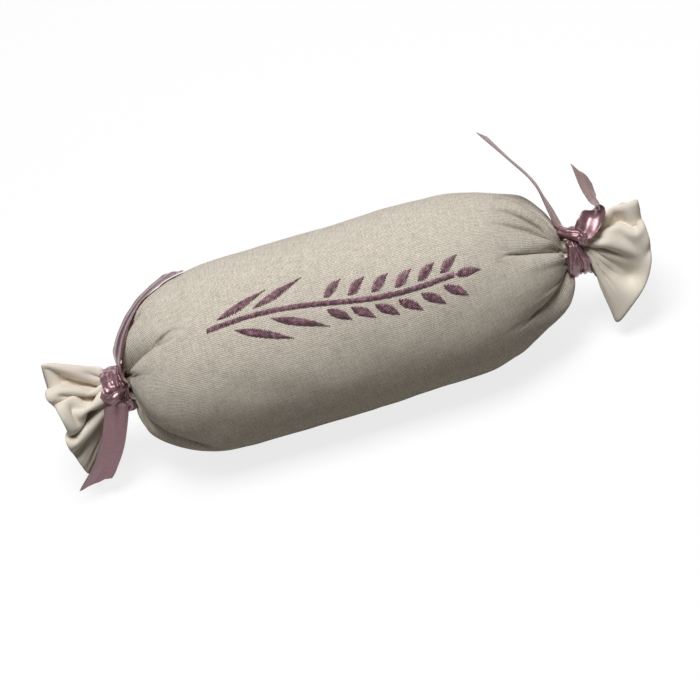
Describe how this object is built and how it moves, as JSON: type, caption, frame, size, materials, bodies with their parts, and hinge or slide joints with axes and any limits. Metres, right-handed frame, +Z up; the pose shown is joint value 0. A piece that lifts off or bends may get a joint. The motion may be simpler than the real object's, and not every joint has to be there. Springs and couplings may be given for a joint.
{
  "type": "lavender sachet",
  "caption": "Bonbon-shaped scented sachet: a filled linen roll gathered and tied with satin ribbon at both ends, with fanned cloth ends and an embroidered sprig.",
  "frame": {"origin": "on the flattened underside, below the middle of the roll", "axes": "+X along the roll towards its right end, +Z up, and -Y the front, which carries the embroidery"},
  "size_m": [0.1813, 0.053, 0.0727],
  "materials": {
    "linen": "natural linen, fine open plain weave with slubs",
    "muslin": "unbleached cotton muslin",
    "lavender_buds": null,
    "felt": "white non-woven stabiliser",
    "sewing_thread": "cream cotton sewing thread",
    "embroidery_thread": "plum rayon thread in satin stitch",
    "satin_ribbon": "mauve single-face satin, glossy face and matte reverse"
  },
  "bodies": {
    "roll": {"linen_sleeve": "linen", "muslin_liner": "muslin", "lavender_fill": "lavender_buds", "embroidery_backing": "felt", "seam_stitching": "sewing_thread", "sprig_stem": "embroidery_thread", "sprig_leaf_1": "embroidery_thread", "sprig_leaf_2": "embroidery_thread", "sprig_leaf_3": "embroidery_thread", "sprig_leaf_4": "embroidery_thread", "sprig_bud_1": "embroidery_thread", "sprig_bud_2": "embroidery_thread", "sprig_bud_3": "embroidery_thread", "sprig_bud_4": "embroidery_thread", "sprig_bud_5": "embroidery_thread", "sprig_bud_6": "embroidery_thread", "sprig_bud_7": "embroidery_thread", "sprig_bud_8": "embroidery_thread", "sprig_bud_9": "embroidery_thread", "sprig_bud_10": "embroidery_thread", "sprig_bud_11": "embroidery_thread", "sprig_bud_12": "embroidery_thread", "sprig_bud_13": "embroidery_thread", "left_ribbon_band": "satin_ribbon", "left_ribbon_knot": "satin_ribbon", "right_ribbon_band": "satin_ribbon", "right_ribbon_knot": "satin_ribbon"},
    "left_ear": {"left_ear": "linen"},
    "right_ear": {"right_ear": "linen"},
    "left_shoulder_tail": {"left_shoulder_tail": "satin_ribbon"},
    "left_hanging_tail": {"left_hanging_tail": "satin_ribbon"},
    "right_long_tail": {"right_long_tail": "satin_ribbon"},
    "right_folded_tail": {"right_folded_tail": "satin_ribbon"}
  },
  "joints": [
    {"name": "left_ear_swing", "type": "hinge", "parent": "roll", "child": "left_ear", "pos_m": [-0.072, 0, 0.026], "axis": [0, 1, 0], "range_deg": [-12, 18], "stiffness_Nm_per_rad": 0.002},
    {"name": "right_ear_swing", "type": "hinge", "parent": "roll", "child": "right_ear", "pos_m": [0.072, 0, 0.026], "axis": [0, 1, 0], "range_deg": [-18, 10], "stiffness_Nm_per_rad": 0.002},
    {"name": "left_shoulder_tail_lift", "type": "hinge", "parent": "roll", "child": "left_shoulder_tail", "pos_m": [-0.0646, 0.00184, 0.03286], "axis": [0, -0.9659, 0.259], "range_deg": [0, 50], "stiffness_Nm_per_rad": 0.0002},
    {"name": "left_hanging_tail_lift", "type": "hinge", "parent": "roll", "child": "left_hanging_tail", "pos_m": [-0.06834, -0.0099, 0.02778], "axis": [-0.8724, 0.2106, 0.4412], "range_deg": [0, 50], "stiffness_Nm_per_rad": 0.0002},
    {"name": "right_long_tail_swing", "type": "hinge", "parent": "roll", "child": "right_long_tail", "pos_m": [0.06585, 0.00164, 0.03588], "axis": [0.9091, -0.4041, 0.101], "range_deg": [-30, 20], "stiffness_Nm_per_rad": 0.0002},
    {"name": "right_folded_tail_swing", "type": "hinge", "parent": "roll", "child": "right_folded_tail", "pos_m": [0.0692, -0.0026, 0.03508], "axis": [-0.1078, -0.7548, 0.647], "range_deg": [-12, 12], "stiffness_Nm_per_rad": 0.0002}
  ]
}
